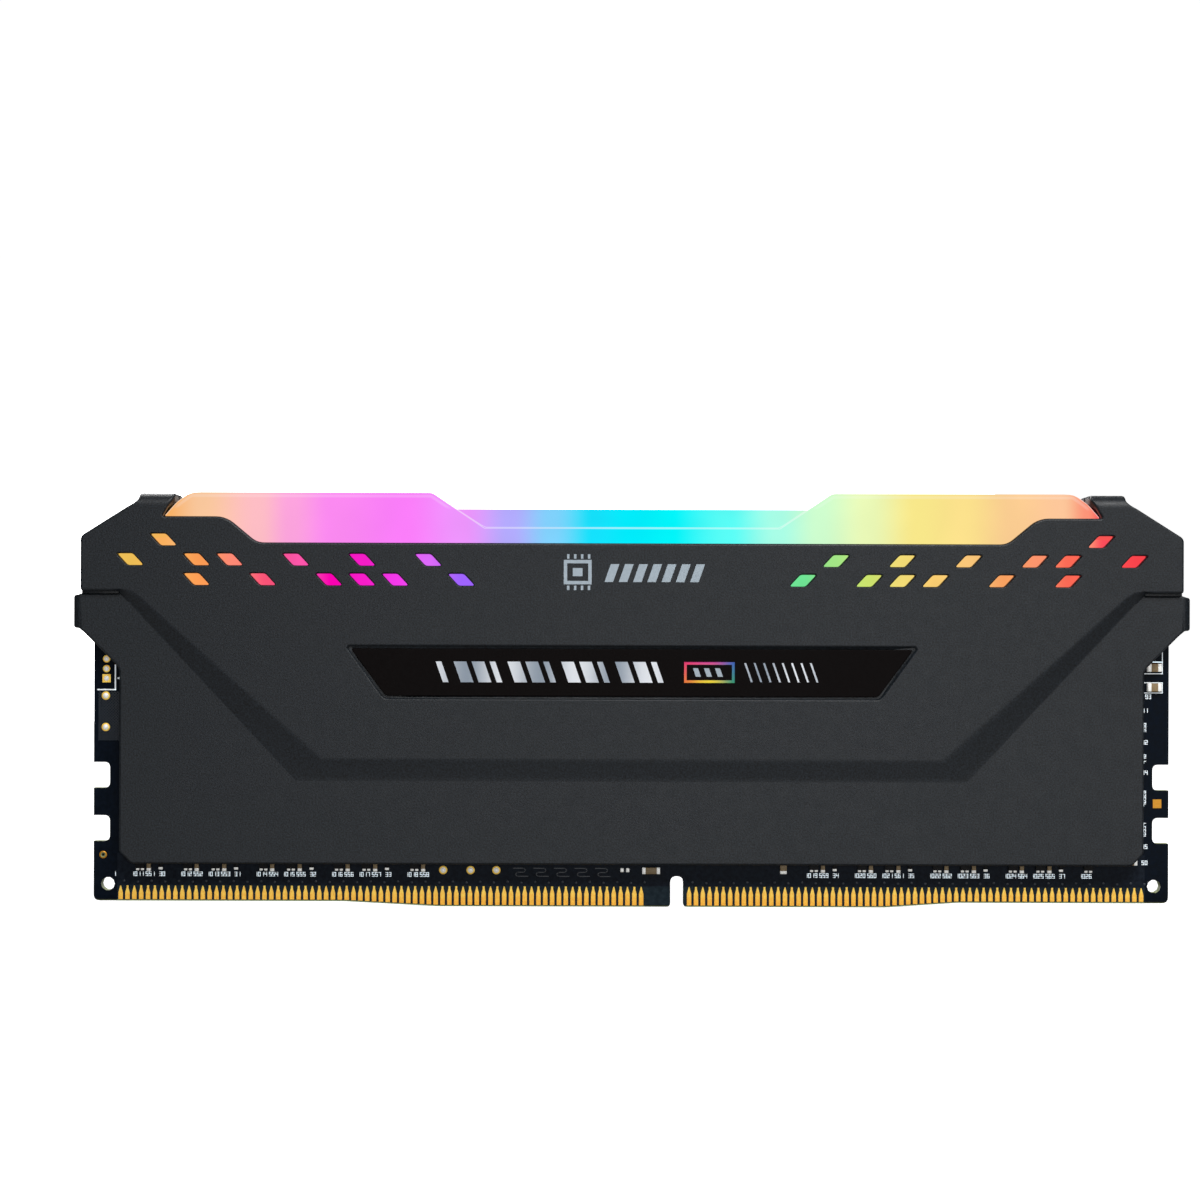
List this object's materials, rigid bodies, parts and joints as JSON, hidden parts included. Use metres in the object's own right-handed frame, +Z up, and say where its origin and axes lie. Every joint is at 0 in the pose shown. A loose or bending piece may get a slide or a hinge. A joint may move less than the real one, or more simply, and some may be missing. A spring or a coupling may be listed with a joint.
{
  "type": "memory module",
  "caption": "Desktop memory module: circuit board with gold edge contacts between two stepped black heat spreaders, with slanted light holes and a rainbow-lit bar on top.",
  "frame": {"origin": "middle of the card edge's bottom face", "axes": "+Z up out of the socket, +X along the card with the key notch on its positive side, -Y out of the front face"},
  "size_m": [0.1378, 0.008, 0.0512],
  "materials": {
    "laminate": "black solder mask over fibreglass laminate, satin, with faint copper relief",
    "gold": "hard gold plate, polished",
    "powder_coat": "fine matte black powder coat",
    "diffuser": "milky translucent moulding, lit from inside by a rainbow of lamps",
    "badge": "gloss near-black film with a printed silver motif",
    "thermal_tape": "soft matte grey",
    "chip_package": "moulded black epoxy",
    "lamp": "white lamp housing with clear window",
    "resistor": "black glass coat with bright soldered ends",
    "capacitor": "tan ceramic with bright soldered ends"
  },
  "bodies": {
    "root": {"contacts_back_left": "gold", "contacts_back_right": "gold", "contacts_front_left": "gold", "contacts_front_right": "gold", "dram_chip_back_1": "chip_package", "dram_chip_back_2": "chip_package", "dram_chip_back_3": "chip_package", "dram_chip_back_4": "chip_package", "dram_chip_back_5": "chip_package", "dram_chip_back_6": "chip_package", "dram_chip_back_7": "chip_package", "dram_chip_back_8": "chip_package", "dram_chip_front_1": "chip_package", "dram_chip_front_2": "chip_package", "dram_chip_front_3": "chip_package", "dram_chip_front_4": "chip_package", "dram_chip_front_5": "chip_package", "dram_chip_front_6": "chip_package", "dram_chip_front_7": "chip_package", "dram_chip_front_8": "chip_package", "end_capacitor_1": "capacitor", "end_capacitor_2": "capacitor", "heat_spreader_back": "powder_coat", "heat_spreader_front": "powder_coat", "label_back": "badge", "label_front": "badge", "led_1": "lamp", "led_10": "lamp", "led_2": "lamp", "led_3": "lamp", "led_4": "lamp", "led_5": "lamp", "led_6": "lamp", "led_7": "lamp", "led_8": "lamp", "led_9": "lamp", "led_controller": "chip_package", "led_regulator": "chip_package", "light_bar": "diffuser", "pcb": "laminate", "resistor_array_1": "resistor", "resistor_array_10": "resistor", "resistor_array_11": "resistor", "resistor_array_12": "resistor", "resistor_array_13": "resistor", "resistor_array_14": "resistor", "resistor_array_15": "resistor", "resistor_array_16": "resistor", "resistor_array_2": "resistor", "resistor_array_3": "resistor", "resistor_array_4": "resistor", "resistor_array_5": "resistor", "resistor_array_6": "resistor", "resistor_array_7": "resistor", "resistor_array_8": "resistor", "resistor_array_9": "resistor", "spd_sensor": "chip_package", "thermal_tape_back": "thermal_tape", "thermal_tape_front": "thermal_tape"}
  },
  "joints": []
}
